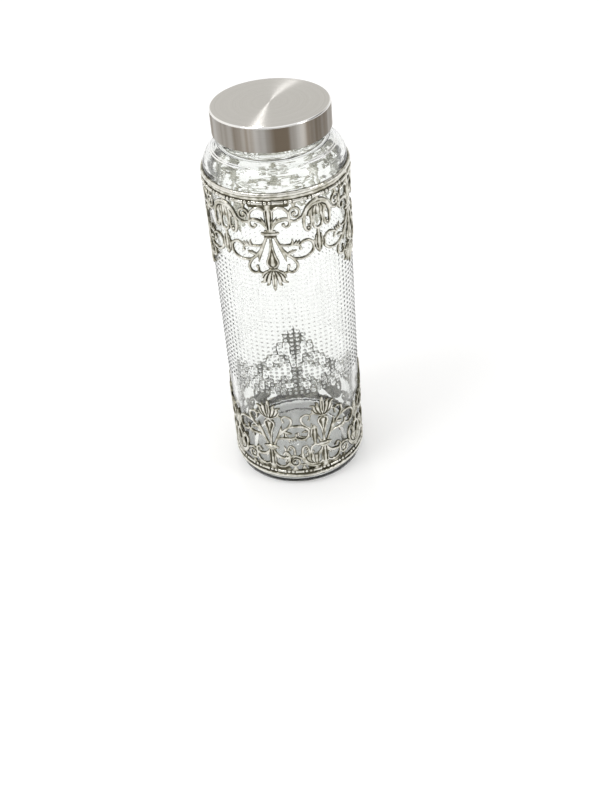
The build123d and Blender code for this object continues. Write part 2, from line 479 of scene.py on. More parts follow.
def studCell():
    # one flat cell of the wall: x round the bottle, y up, z outwards, with a low lens on it
    g = glassForm
    width = fullTurn * g["wallRadius"] / g["studColumns"] / 2
    height = g["studPitch"] / 2
    edge = [(-width, -height), (0, -height), (width, -height), (width, 0), (width, height),
            (0, height), (-width, height), (-width, 0)]
    points, faces = [(x, y, 0) for x, y in edge], []
    angles = [math.atan2(y, x) for x, y in edge]
    for share, rise in g["studProfile"]:
        radius = g["studRadius"] * share
        points += [(radius * math.cos(a), radius * math.sin(a), g["studRise"] * rise)
                   for a in angles]
    points.append((0, 0, g["studRise"]))
    count = len(edge)
    last = len(g["studProfile"]) * count
    for index in range(count):
        after = (index + 1) % count
        for low in range(0, last, count):
            high = low + count
            faces.append((low + index, low + after, high + after, high + index))
        faces.append((last + index, last + after, last + count))
    return [tuple(v * mm for v in p) for p in points], faces


def newTree(name, wholes, numbers):
    # a Geometry Nodes tree with named inputs, by which it is filled and used
    bench = Bench(bpy.data.node_groups.new(name, "GeometryNodeTree"))
    face = bench.tree.interface
    for way in ("INPUT", "OUTPUT"):
        face.new_socket(name="Geometry", in_out=way, socket_type="NodeSocketGeometry")
    bench.keys = {}
    for kind, labels in (("Int", wholes), ("Float", numbers), ("Material", ["finish"])):
        for label in labels:
            made = face.new_socket(name=label, in_out="INPUT", socket_type="NodeSocket" + kind)
            bench.keys[label] = made.identifier
    start = bench.tree.nodes.new("NodeGroupInput")
    return bench, {s.name: Flow(bench, s) for s in start.outputs if s.name}


def endTree(bench, shape, finish):
    done = bench.node("GeometryNodeSetMaterial", Geometry=bench.realized(shape), Material=finish)
    bench.plug(done, bench.tree.nodes.new("NodeGroupOutput").inputs[0])
    return bench


def grown(piece, bench, values, name, thinning=None):
    # runs the tree on the piece and gives its result back as a plain mesh
    if thinning:
        fewer = piece.modifiers.new("fewer", "DECIMATE")
        fewer.ratio = thinning
        fewer.vertex_group = "thinned"
    step = piece.modifiers.new("made", "NODES")
    step.node_group = bench.tree
    for label, value in values.items():
        step[bench.keys[label]] = value
    bpy.context.view_layer.update()
    depsgraph = bpy.context.evaluated_depsgraph_get()
    mesh = bpy.data.meshes.new_from_object(piece.evaluated_get(depsgraph))
    piece.modifiers.remove(step)
    bpy.data.objects.remove(piece)
    mesh.name = name
    return newObject(name, mesh)


def studTree():
    # rows of cells laid on a flat sheet, then rolled round the bottle's axis
    bench, v = newTree("studWall", ["columns", "rows"], ["width", "height", "radius", "foot"])
    row = bench.onPoints(bench.line(v["columns"], bench.combine(v["width"])), v["Geometry"])
    rows = bench.onPoints(bench.line(v["rows"], bench.combine(0.0, v["height"])), row)
    sheet = bench.realized(rows)
    x, y, z = bench.position()
    place = bench.roundAxis(v["radius"] + z, x / v["radius"], v["foot"] + y)
    return endTree(bench, bench.merged(bench.moved(sheet, place), glassForm["studWeld"]),
                   v["finish"])


def glassBottle():
    g = glassForm
    outline, gap = glassOutline()
    push = threadPush(g["neckRadius"], *thread["neck"])
    body = meshPiece("glassBottle", *lathe(outline, g["columns"], push, gap), glass)
    cell = meshPiece("studCell", *studCell(), glass)
    width = fullTurn * g["wallRadius"] / g["studColumns"]
    values = {"columns": g["studColumns"], "rows": g["studRows"], "width": width * mm,
              "height": g["studPitch"] * mm, "radius": g["wallRadius"] * mm,
              "foot": (g["studFoot"] + g["studPitch"] / 2) * mm, "finish": glass}
    studs = grown(cell, studTree(), values, "studWall")
    with bpy.context.temp_override(active_object=body, selected_editable_objects=[body, studs]):
        bpy.ops.object.join()
    outwards(body)
    shaded(body, g["sharpAbove"])
    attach(body, "bottle")
    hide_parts("glass_bottle")
    print("glass made of", len(body.data.polygons), "faces")


capForm = {
    "columns": 160, "radius": 30.75, "sheet": 0.5,
    "base": 211.05, "top": 224.45, "skirt": 6,
    "edge": 1.1, "lip": 0.35, "hem": 0.12, "underEdge": 0.6,  # roundings of the corners
    "topRadii": (0, 6, 12, 20, 27), "underRadii": (14, 0),  # circles that keep the faces small
}

linerForm = {
    "bore": 28.4, "radius": 30.2, "foot": 211.6, "top": 223.9, "ceiling": 222.65,
    "edge": 0.3, "topEdge": 0.5, "ceilingEdge": 0.15,
    "rows": (212.1, 221.0, 0.33), "topRadii": (0, 14), "ceilingRadii": (22, 12, 0),
}

sealForm = {
    "corners": [(23.95, 221.25), (28.35, 221.25), (28.35, 222.65), (23.95, 222.65)],
    "edge": 0.25,
}


def screwCap():
    c = capForm
    inside, under, skirt = c["radius"] - c["sheet"], c["top"] - c["sheet"], c["base"] + c["skirt"]
    shell = [*[(r, c["top"], 0) for r in c["topRadii"]], (c["radius"], c["top"], c["edge"]),
             (c["radius"], skirt, 0), (c["radius"], c["base"], c["lip"]),
             (inside, c["base"], c["hem"]), (inside, skirt, 0), (inside, under, c["underEdge"]),
             *[(r, under, 0) for r in c["underRadii"]]]
    cap = turnedPiece("capShell", shell, c["columns"], steel)
    shaded(cap)
    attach(cap, "cap")
    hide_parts("cap_shell")

    f = linerForm
    liner = [*[(r, f["top"], 0) for r in f["topRadii"]], (f["radius"], f["top"], f["topEdge"]),
             (f["radius"], f["foot"], f["edge"]), (f["bore"], f["foot"], f["edge"]),
             *[(f["bore"], z, 0) for z in np.arange(*f["rows"])],
             (f["bore"], f["ceiling"], f["ceilingEdge"]),
             *[(r, f["ceiling"], 0) for r in f["ceilingRadii"]]]
    push = threadPush(f["bore"], *thread["cap"])
    cup = turnedPiece("capLiner", liner, c["columns"], linerPlastic, push)
    shaded(cup)
    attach(cup, "cap")
    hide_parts("cap_liner")

    ring = [(r, z, sealForm["edge"]) for r, z in sealForm["corners"]]
    seal = turnedPiece("capSeal", ring, c["columns"], sealRubber)
    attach(seal, "seal")
    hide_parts("cap_seal")
    print("cap: shell, liner and seal made")


glassBottle()
screwCap()


# pierced silver bands, in millimetres

band = {
    "bore": 37.55, "pendants": 5,
    "pitch": 51.8,  # of strip from one pendant to the next
    "cutLeft": -24.1, "depths": (0.9, 56.0), "step": 0.30,  # the grid that the pattern is laid on
    "reach": 3.2,  # a stroke raises nothing further from its line than this
    "outside": -9.0,
    "edge": 0.34,  # thickness of the sheet where the piercing cuts it
    "clear": 0.08,  # a cut stays this share of a grid step away from the grid's points
    "backColumns": 9, "weld": 0.000008, "sharpAbove": 48,
    "flangeTop": 1.25, "flangeThick": 0.36, "groundFade": 0.4, "groundKept": 0.3,
    "grooveDepth": 0.42, "grooveFloor": 0.3, "wallShade": 0.12,
    "thinning": 0.43,  # share of the faces kept
    # the lap: over this length its two ends thin out, and the upper one is lifted
    "fade": 6, "under": 0.56, "over": 0.36, "lift": 0.58,
    "units": 5, "rowStart": -20.72, "seat": 0.12,  # the bead and bar row: units in a pitch
    "upper": {"middle": 191.91, "down": 1, "angle": 76.7, "first": -85.6, "row": 4.0,
              "flange": 5.25, "lip": 2.6, "lipTone": -0.42, "groundShade": 1.3, "paintedBackTone": 0.6,
              # shine: the section angles of the rim wire's painted highlight
              "shine": (-34, -8, 64, 88), "bead": 2.25, "beadGap": 2.45, "barLength": 4.6,
              "bar": 2.35, "deepest": 0.0},
    "lower": {"middle": 6.8, "down": -1, "angle": 78.1, "first": 21.3, "row": 3.25,
              "flange": 4.45, "lip": 0.0, "lipTone": 0.0, "groundShade": 1.2, "paintedBackTone": 0.34,
              "shine": (-22, -8, 38, 56), "bead": 2.0, "beadGap": 2.45, "barLength": 4.1,
              "bar": 2.0, "deepest": -0.45},
}

# strokes of the pattern, mirrored about the pendant's axis; each point is u along the band,
# d away from the rim wire, the stroke's half width and the height of its crown
pendantStrokes = [
    [(0, 3.6, 2.3, 0.7), (0, 5.4, 1.5, 0.95), (0, 7.9, 1.7, 1)],
    [(0, 7.4, 2.3, 0.75), (0, 10, 2.5, 0.8), (0, 14, 2.2, 0.85), (0, 17, 1.7, 0.9),
     (0, 19.6, 1.3, 0.9)],
    [(0, 7.6, 0.62, 1.2), (0, 19.4, 0.5, 1.15)],
    [(1.2, 5.4, 1.9, 0.38), (5, 5.2, 1.5, 0.38), (9.6, 5.6, 1.3, 0.38)],
    [(1.5, 7.9, 0.55, 1.1), (1.55, 12, 0.55, 1.1), (0.9, 19.2, 0.4, 1)],
    [(1.3, 9.4, 0.6, 1), (2.2, 8.3, 0.7, 1.1), (4.8, 7, 0.75, 1.15), (7.9, 7.8, 0.8, 1.2),
     (10, 10.3, 0.75, 1.1), (10.5, 13.2, 0.7, 1)],
    [(0.7, 20, 0.6, 1), (1.3, 18.6, 0.75, 1.05), (2.4, 16.5, 0.9, 1.1), (4.2, 14.6, 1.1, 1.15),
     (6.6, 13.8, 1.15, 1.2), (9.3, 13.8, 0.95, 1.2), (10.5, 15.3, 0.8, 1.15),
     (10.1, 17.3, 0.75, 1.1), (8.5, 18.2, 0.65, 1.1), (7.3, 17.2, 0.6, 1.1)],
    [(7.2, 16.7, 0.95, 1.25), (7.25, 16.75, 0.95, 1.25)],
    [(2, 15.8, 0.5, 1.1), (3, 14.2, 0.6, 1.15), (4, 12.4, 0.3, 0.9)],
    [(10.4, 14.2, 0.7, 1), (10.3, 11.4, 0.7, 1.1), (11.4, 8.8, 0.72, 1.1),
     (13.4, 7.9, 0.75, 1.15), (15.4, 8.9, 0.72, 1.15), (16.1, 11, 0.68, 1.1),
     (15.2, 12.9, 0.62, 1.05), (13.4, 13.2, 0.58, 1), (12.1, 12, 0.55, 1),
     (12.3, 10.5, 0.55, 1.1), (13.4, 10.2, 0.6, 1.2)],
    [(13.4, 11, 0.8, 1.25), (13.45, 11, 0.8, 1.25)],
    [(13.2, 8.2, 0.9, 0.95), (13.2, 6.2, 1, 0.9), (13.2, 3.6, 2.2, 0.55)],
    [(10.2, 14.4, 0.7, 1), (12.2, 15.3, 0.72, 1.1), (14.3, 15.3, 0.75, 1.15),
     (17.1, 13.7, 0.8, 1.2), (18.7, 11.4, 0.85, 1.2), (20.2, 9.1, 0.9, 1.2),
     (22.6, 7.3, 0.95, 1.2), (25.9, 6.4, 1, 1.2)],
    [(0, 20, 0.65, 1.15), (2.5, 20, 0.6, 1.05)],
    [(0, 21.5, 0.95, 1.25), (2.6, 21.5, 0.95, 1.22), (4.1, 21.2, 0.75, 1.1)],
    [(0, 23.3, 0.9, 0.6), (2.6, 23.4, 0.8, 0.6)],
    [(0, 23.9, 0.72, 1.15), (0.02, 23.9, 0.72, 1.15)],
    [(2.3, 23.8, 0.72, 1.15), (2.32, 23.8, 0.72, 1.15)],
    [(0, 24.2, 0.75, 0.9), (0, 26, 0.75, 0.75), (0, 30, 1.1, 0.6), (0, 34, 1.9, 0.55),
     (0, 38.3, 3.3, 0.55), (0, 40.2, 2.6, 0.6), (0, 41.6, 1.2, 0.8)],
    [(0.35, 25, 0.42, 0.95), (0.75, 30, 0.5, 1), (1.55, 34, 0.55, 1.1),
     (2.95, 38.2, 0.6, 1.15), (2.2, 40.2, 0.6, 1.15), (0.6, 41.3, 0.55, 1.05)],
    [(0, 32.5, 0.25, 0.95), (0, 36, 0.75, 1.1), (0, 39.3, 1.3, 1.2)],
    [(2.4, 24.2, 0.75, 1.05), (4.4, 28.8, 0.95, 1.1), (6.3, 33.4, 1.1, 1.15),
     (7.2, 38, 0.25, 0.7)],
    [(5.6, 31, 0.8, 1.1), (7.6, 33.6, 0.95, 1.15), (9.4, 35.5, 0.8, 1.1)],
    [(4.3, 28, 0.7, 1), (7.1, 28.7, 0.72, 1.1), (11, 28.7, 0.75, 1.15),
     (13.8, 28.9, 0.7, 1.1)],
    [(10.4, 28.4, 0.7, 1.1), (11.2, 27.1, 0.7, 1.15), (11, 25.6, 0.3, 0.9)],
    [(12, 28.5, 0.6, 1.1), (13, 27.5, 0.6, 1.1), (13.2, 26.5, 0.3, 0.8)],
    [(13.5, 28.5, 0.55, 1.1), (14.5, 27.6, 0.55, 1.1), (15, 26.8, 0.3, 0.8)],
    [(13.2, 29.3, 0.6, 1), (14.7, 29.2, 0.7, 1.1), (16.2, 28.3, 0.78, 1.15),
     (18.7, 27.6, 0.82, 1.2), (21.2, 28.6, 0.85, 1.2), (22.6, 31, 0.85, 1.2),
     (22.4, 33.7, 0.85, 1.2), (20.6, 36, 0.82, 1.2), (17.5, 37.4, 0.8, 1.15),
     (14.1, 37.4, 0.78, 1.15), (11.4, 36.8, 0.76, 1.1), (9.3, 35.2, 0.7, 1.1)],
    [(14, 29.2, 0.6, 1.1), (15.1, 30.4, 0.6, 1.1), (15.3, 31.6, 0.6, 1.15)],
    [(15.3, 31.8, 0.95, 1.25), (15.32, 31.8, 0.95, 1.25)],
    [(8.2, 33.8, 0.7, 1), (10, 33.1, 1, 1.15), (11.6, 32.7, 0.8, 1.1),
     (12.8, 32.2, 0.35, 0.9)],
    [(10.4, 32.9, 0.55, 1.1), (10.9, 31.9, 0.4, 0.9)],
    [(9.3, 35.2, 0.75, 1.1), (11.4, 37.6, 0.8, 1.15), (13, 40.8, 0.82, 1.2),
     (12.3, 43.5, 0.8, 1.2), (9.8, 44.8, 0.75, 1.15), (7.8, 43.6, 0.68, 1.1),
     (8, 41.4, 0.6, 1.1)],
    [(8.3, 40.8, 0.9, 1.2), (8.32, 40.8, 0.9, 1.2)],
    [(7.6, 44.2, 0.65, 1.05), (6, 44.9, 0.7, 1.1), (4.2, 44.9, 0.7, 1)],
    [(0, 42.3, 0.8, 1.15), (1.9, 42.8, 0.8, 1.15), (3.4, 44.3, 0.6, 1)],
    [(0, 42.6, 1.2, 0.9), (0, 47, 1.5, 1.1), (0, 51, 1.35, 1.2), (0, 53.4, 1, 1.15),
     (0, 55.2, 0.4, 0.8)],
    [(0.8, 43.2, 1, 0.9), (2.2, 46.4, 1.3, 1.1), (3, 49.2, 1.2, 1.2), (3, 51, 0.9, 1.15),
     (4, 52.1, 0.45, 0.9)],
    [(1.6, 43.3, 1, 0.9), (4, 45.6, 1.25, 1.1), (4.9, 48, 1.1, 1.2), (5.3, 49.8, 0.9, 1.15),
     (7.1, 50.6, 0.45, 0.9)],
    [(2.4, 43.6, 0.9, 0.9), (4.6, 44.6, 0.95, 1.1), (5.9, 46.3, 0.7, 1.1), (6.4, 47.4, 0.35, 0.9)],
]

# the same about the axis halfway between two pendants
palmetteStrokes = [
    [(0, 6.6, 1, 1.1), (0, 5.2, 1.1, 0.9), (0, 3.6, 2.2, 0.55)],
    [(0, 9.6, 3.8, 1.12), (0, 10.8, 4.3, 1.16), (0, 11.6, 3.9, 1.1)],
    [(3, 11.4, 2.2, 1.14), (4.9, 12.8, 1.8, 1.1)],
    [(0, 8.1, 1, 1.15), (3.4, 8.7, 1.1, 1.2), (6.2, 10.9, 1.1, 1.25), (7.6, 14.4, 1, 1.25),
     (7.9, 18.2, 0.9, 1.2), (7.2, 21.4, 0.8, 1.2), (5.7, 22.4, 0.7, 1.15), (4.4, 21.2, 0.6, 1.1),
     (4.5, 19.6, 0.5, 1.05), (5.6, 19.2, 0.4, 1)],
    [(5.7, 20.7, 0.8, 1.25), (5.72, 20.7, 0.8, 1.25)],
    [(3.4, 12.6, 1.1, 1.05), (3.75, 15.2, 0.9, 1.15), (3.7, 18, 0.7, 1.2),
     (4.2, 20.4, 0.7, 1.1)],
    [(1.9, 14.2, 0.9, 1.05), (2.5, 16.6, 0.75, 1.2), (2.6, 19.2, 0.7, 1.25),
     (1.9, 21.6, 0.8, 1.25), (0, 22.7, 0.95, 1.2)],
    [(0, 22.9, 0.9, 1), (0, 25, 1.15, 0.95), (0, 28, 1.6, 0.95), (0, 31, 2.2, 0.95),
     (0, 33.6, 2.2, 0.9), (0, 36.9, 0.3, 0.75)],
    [(0, 23.4, 0.45, 1.25), (0, 35.6, 0.4, 1.1)],
    [(1.6, 26.5, 0.4, 1.1), (2.2, 30.5, 0.45, 1.15), (1.5, 34.2, 0.35, 0.95)],
    [(2.7, 29.2, 0.5, 1), (3.3, 31.2, 0.7, 1.15), (3.1, 33.6, 0.45, 1)],
]

# grooves chased into those shapes: points and half width
pendantGrooves = [
    ([(1.15, 8.6), (1.2, 12), (0.8, 18.6)], 0.42),
    ([(0.5, 43.2), (1.4, 46.5), (1.8, 50.3)], 0.45),
    ([(1.3, 43.0), (3.2, 45.8), (4.1, 48.8)], 0.45),
    ([(2.2, 43.4), (4.5, 45.2), (5.6, 47.2)], 0.42),
    ([(0, 45.5), (0, 52.5)], 0.30),
]
palmetteGrooves = [
    ([(0.7, 8.9), (1.1, 12.0), (0.9, 15.0)], 0.30),
    ([(1.5, 8.9), (3.0, 11.4), (3.1, 14.6)], 0.32),
    ([(2.4, 9.1), (5.2, 11.2), (5.9, 14.4)], 0.32),
    ([(0.95, 25.0), (1.1, 29.0), (0.9, 34.0)], 0.40),
    ([(2.4, 28.5), (2.9, 31.2), (2.4, 34.0)], 0.35),
]


def curveThrough(rows, straight=8, bent=6):
    # steps along a smooth curve through the points, with their other values carried along
    rows = np.array(rows, float)
    if len(rows) < 3:
        share = np.linspace(0, 1, straight)[:, None]
        return rows[0] * (1 - share) + rows[-1] * share
    padded = np.vstack([2 * rows[0] - rows[1], rows, 2 * rows[-1] - rows[-2]])
    made = []
    for index in range(1, len(padded) - 2):
        a, b, c, d = padded[index - 1:index + 3]
        for t in np.linspace(0, 1, bent + 1)[:-1]:
            made.append(0.5 * (2 * b + (c - a) * t + (2 * a - 5 * b + 4 * c - d) * t**2
                               + (3 * b - a - 3 * c + d) * t**3))
    made.append(rows[-1])
    return np.array(made)


def copies(path, centre):
    # the path and its mirror image, in this pitch of the strip and in its neighbours
    for side in (1, -1):
        for repeat in (-1, 0, 1):
            moved = path.copy()
            moved[:, 0] = centre + side * moved[:, 0] + repeat * band["pitch"]
            yield moved


def distances(path, gridU, gridD):
    # for each step of the path: its two ends, how far along it and how far from it a point lies
    for first, second in zip(path[:-1], path[1:]):
        run = second[:2] - first[:2]
        share = np.clip(((gridU - first[0]) * run[0] + (gridD - first[1]) * run[1])
                        / max(run @ run, 1e-9), 0, 1)
        away = np.hypot(gridU - first[0] - share * run[0], gridD - first[1] - share * run[1])
        yield first, second, share, away


def layStroke(field, crown, u, d, path):
    # raises field (how far inside the metal a point lies) and crown (its height) by one stroke
    low, high = path[:, :2].min(0) - band["reach"], path[:, :2].max(0) + band["reach"]
    across = np.nonzero((u >= low[0]) & (u <= high[0]))[0]
    down = np.nonzero((d >= low[1]) & (d <= high[1]))[0]
    window = np.ix_(down, across)
    for first, second, share, away in distances(path, *np.meshgrid(u[across], d[down])):
        width = first[2] + (second[2] - first[2]) * share
        top = first[3] + (second[3] - first[3]) * share
        bulge = np.sqrt(np.clip(1 - (away / np.maximum(width, 0.05)) ** 2, 0, 1))
        level = np.where(width > away, band["edge"] + (top - band["edge"]) * bulge, 0)
        field[window] = np.maximum(field[window], width - away)
        crown[window] = np.maximum(crown[window], level)


def carve(groovesAndShade, u, d, path, width):
    # a groove along a path: 1 on its line, fading to 0 at its half width
    for first, second, share, away in distances(path, *np.meshgrid(u, d)):
        np.maximum(groovesAndShade, np.clip(1 - (away / width) ** 2, 0, 1), out=groovesAndShade)


def patternField(spec):
    pitch = band["pitch"]
    columns = int(round(pitch / band["step"]))
    u = band["cutLeft"] + np.arange(columns + 1) * pitch / columns
    d = np.arange(*band["depths"], band["step"])
    field = np.full((len(d), len(u)), band["outside"])
    crown, groovesAndShade = np.zeros_like(field), np.zeros_like(field)
    for strokes, grooves, centre in ((pendantStrokes, pendantGrooves, 0.0),
                                     (palmetteStrokes, palmetteGrooves, pitch / 2)):
        for stroke in strokes:
            for path in copies(curveThrough(stroke), centre):
                layStroke(field, crown, u, d, path)
        for groove, width in grooves:
            for path in copies(curveThrough(groove), centre):
                carve(groovesAndShade, u, d, path, width)
    flange = np.minimum(d - band["flangeTop"], spec["flange"] - d)[:, None] + 0 * u[None, :]
    field = np.maximum(field, flange)
    crown = np.where(flange > 0, np.maximum(crown, band["flangeThick"]), crown)
    crown = np.maximum(crown - groovesAndShade * band["grooveDepth"],
                       np.minimum(crown, band["grooveFloor"]))
    # a lighter lip beside the rim wire, and painted shade on the row's ground behind the beads and
    # bars
    lip = (flange > 0) & (d < spec["lip"])[:, None]
    ground = spec["groundShade"] * np.clip(flange, 0, band["groundFade"])
    groovesAndShade = np.where(lip, spec["lipTone"], groovesAndShade + ground)
    # the cut runs through the metal at the same places left and right
    for values in (field, crown, groovesAndShade):
        values[:, -1] = values[:, 0]
    return u, d, field, crown, groovesAndShade


def blurred(values, radius):
    steps = np.arange(-int(3 * radius), int(3 * radius) + 1)
    weights = np.exp(-steps**2 / (2 * radius**2))
    weights /= weights.sum()
    reach = len(steps) // 2
    padded = np.pad(values, reach, mode="edge")
    across = sum(w * padded[:, i:i + values.shape[1]] for i, w in enumerate(weights))
    return sum(w * across[i:i + values.shape[0]] for i, w in enumerate(weights))


toneWeights = {
    "flat": 0.36,  # the tone of metal that stands neither above nor below its surroundings
    "height": 0.45, "middleHeight": 0.7,
    "surroundings": ((0.75, 2.6), (0.9, 1.0)),  # weight and reach
    "leastMetal": 0.02,
}


def reliefOf(field, crown, groovesAndShade, deepest):
    # how far a point stands above its surroundings: 0 in the grooves, 1 on the crests; as a tone it
    # gives tarnish with painted shade in the hollows and a painted highlight on the crests
    t = toneWeights
    metal = (field > 0).astype(float)
    value = t["flat"] + t["height"] * (crown - t["middleHeight"])
    for weight, reach in t["surroundings"]:
        mean = blurred(crown * metal, reach) / np.maximum(blurred(metal, reach), t["leastMetal"])
        value += weight * (crown - mean)
    # the grooves take tarnish and painted shade, the row's ground takes painted shade
    return np.clip(value - groovesAndShade, deepest, 1)


def stripCell(spec):
    # one pitch of the strip, flat, x along it, y away from the rim wire, z outwards
    u, d, field, crown, groovesAndShade = patternField(spec)
    tarnishAndPaintedLight = reliefOf(field, crown, groovesAndShade, spec["deepest"])
    rows, columns = field.shape
    inside = field > 0
    j, i = np.nonzero(inside)
    points, marks = list(zip(u[i], d[j], crown[inside])), list(tarnishAndPaintedLight[inside])
    index = np.full(field.shape, -1)
    index[inside] = np.arange(len(points))
    crossings = {}

    def crossing(a, b):  # where the metal's edge cuts a side of the grid
        key = (min(a, b), max(a, b))
        if key not in crossings:
            (ja, ia), (jb, ib) = key
            fa, fb = field[ja, ia], field[jb, ib]
            t = np.clip(fa / (fa - fb), band["clear"], 1 - band["clear"])
            crossings[key] = len(points)
            points.append((u[ia] + (u[ib] - u[ia]) * t, d[ja] + (d[jb] - d[ja]) * t,
                           band["edge"]))
            # the cut walls take a dark tone: painted shade
            marks.append(band["wallShade"])
        return crossings[key]

    front, walls = [], []
    for j in range(rows - 1):
        for i in range(columns - 1):
            corners = [(j, i), (j, i + 1), (j + 1, i + 1), (j + 1, i)]
            full = [inside[c] for c in corners]
            if all(full):
                front.append([index[c] for c in corners])
            if all(full) or not any(full):
                continue
            for triangle in (corners[:3], [corners[0], corners[2], corners[3]]):
                shape, cuts = [], []
                for a, b in zip(triangle, triangle[1:] + triangle[:1]):
                    if inside[a]:
                        shape.append(index[a])
                    if inside[a] != inside[b]:
                        point = crossing(a, b)
                        shape.append(point)
                        cuts.append((point, bool(inside[a])))
                if len(shape) > 2:
                    front.append(shape)
                if len(cuts) == 2:
                    leave = next(p for p, going in cuts if going)
                    enter = next(p for p, going in cuts if not going)
                    walls.append((leave, enter))
    return points, marks, front, walls, columns, index, crossings


def backFaces(points, faces):
    # the flat back needs few faces: inner points go, but columns every few millimetres stay
    every = band["backColumns"] * band["pitch"] / round(band["pitch"] / band["step"])
    form = bmesh.new()
    tag = form.verts.layers.int.new("source")
    verts = {}
    for point in dict.fromkeys(point for face in faces for point in face):
        verts[point] = form.verts.new((points[point][0], points[point][1], 0))
        verts[point][tag] = point
    for face in faces:
        form.faces.new([verts[p] for p in face])
    for edge in form.edges:
        low, high = [(v.co.x - band["cutLeft"]) / every for v in edge.verts]
        edge.seam = abs(low - high) < 0.01 and abs(low - round(low)) < 0.02
    bmesh.ops.dissolve_limit(form, angle_limit=0.01, use_dissolve_boundaries=False,
                             verts=form.verts, edges=form.edges, delimit={"SEAM"})
    bmesh.ops.triangulate(form, faces=form.faces)
    result = [[v[tag] for v in face.verts] for face in form.faces]
    form.free()
    return result


def keep(mesh, name, kind, domain, values):
    mesh.attributes.new(name, kind, domain).data.foreach_set("value", values)


def cellPiece(spec):
    points, marks, front, walls, columns, index, crossings = stripCell(spec)
    count = len(points)
    faces = front + [[enter, leave, leave + count, enter + count] for leave, enter in walls]
    faces += [[p + count for p in reversed(face)] for face in backFaces(points, front)]
    ends = [0] * len(faces)
    for column, side in ((0, 1), (columns - 1, 2)):
        for j in range(len(index) - 1):
            low, high = index[j, column], index[j + 1, column]
            cut = crossings.get(((j, column), (j + 1, column)))
            if low < 0 and high < 0:
                continue
            low = cut if low < 0 else low
            high = cut if high < 0 else high
            face = [low, high, high + count, low + count]
            faces.append(face if side == 1 else face[::-1])
            ends.append(side)
    placed = [(x * mm, -spec["down"] * y * mm, z * mm) for x, y, z in points]
    placed += [(x, y, 0) for x, y, z in placed]
    if spec["down"] == 1:
        faces = [face[::-1] for face in faces]
    piece = meshPiece("cell", placed, faces, stripSilver)
    # the back takes a tone that stands in for light it lacks behind the glass: painted light,
    # higher on the upper band
    keep(piece.data, "tarnishAndPaintedLight", "FLOAT", "POINT", marks + [spec["paintedBackTone"]] * count)
    keep(piece.data, "endSide", "INT", "FACE", ends)
    # points in the group may be thinned out: not the two ends, nor the lip and the row's ground
    left, right = band["cutLeft"], band["cutLeft"] + band["pitch"]
    free = [i for i, (x, y, z) in enumerate(points) if min(abs(x - left), abs(x - right)) > 0.001]
    ground = spec["flange"] + band["groundKept"]
    thinned = [i for i in free if points[i][1] > ground] + [i + count for i in free]
    piece.vertex_groups.new(name="thinned").add(thinned, 1.0, "REPLACE")
    return piece


rowForm = {
    "beadSegments": 12, "beadRings": 8, "barSides": 14, "barLengths": 5,
    "waist": 0.86, "collar": 0.8, "rise": 0.33,  # as shares of half the bar's thickness
    # the tone by height is painted shade at the foot and a painted highlight on top
    "toneSlope": 1.1, "toneDrop": 0.25, "toneTop": 0.95,  # dark at the foot, bright on top
}


def beadAndBarRow(bench, v):
    r = rowForm

    def shifted(shape, x=0.0, z=0.0, turn=None):
        return bench.node("GeometryNodeTransform", Geometry=shape, Rotation=turn,
                          Translation=bench.combine(x, 0.0, z))

    def cylinder(radius, depth, lengths):
        return bench.node("GeometryNodeMeshCylinder", Vertices=r["barSides"], Radius=radius,
                          Depth=depth, **{"Side Segments": lengths})

    thick = v["bar"] * 0.5
    ball = bench.node("GeometryNodeMeshUVSphere", Segments=r["beadSegments"],
                      Rings=r["beadRings"], Radius=v["bead"] * 0.5)
    pair = bench.joined(*[shifted(ball, v["beadGap"] * side) for side in (-0.5, 0.5)])
    rod = cylinder(thick * r["waist"], v["barLength"], r["barLengths"])
    collar = cylinder(thick, thick * r["collar"], 1)
    collars = [shifted(collar, z=v["barLength"] * side) for side in (-0.5, 0.5)]
    lying = shifted(bench.joined(rod, *collars), turn=(0, math.pi / 2, 0))
    unit = v["pitch"] / v["units"]
    rows = []
    for shape, start in ((pair, v["rowStart"]), (lying, v["rowStart"] + unit * 0.5)):
        places = bench.line(v["pendants"] * v["units"], bench.combine(unit),
                            bench.combine(start, v["row"]))
        rows.append(bench.onPoints(places, shape))
    row = bench.realized(bench.joined(*rows))
    x, y, z = bench.position()
    raised = bench.maths("MAXIMUM", z + thick * r["rise"], v["seat"])
    row = bench.moved(row, bench.combine(x, y, raised))
    x, y, z = bench.position()
    # painted shade at the foot, painted highlight on top
    bright = bench.clamp(z / thick * r["toneSlope"] - r["toneDrop"], 0.0, r["toneTop"])
    return bench.stored(row, "FLOAT", "tarnishAndPaintedLight", bright)


stripCounts = ["pendants", "units"]
stripLengths = ["pitch", "bore", "middle", "cutLeft", "overlap", "fade", "lift", "seat", "row",
                "rowStart", "bead", "beadGap", "barLength", "bar"]
stripShares = ["first", "angle", "under", "over"]


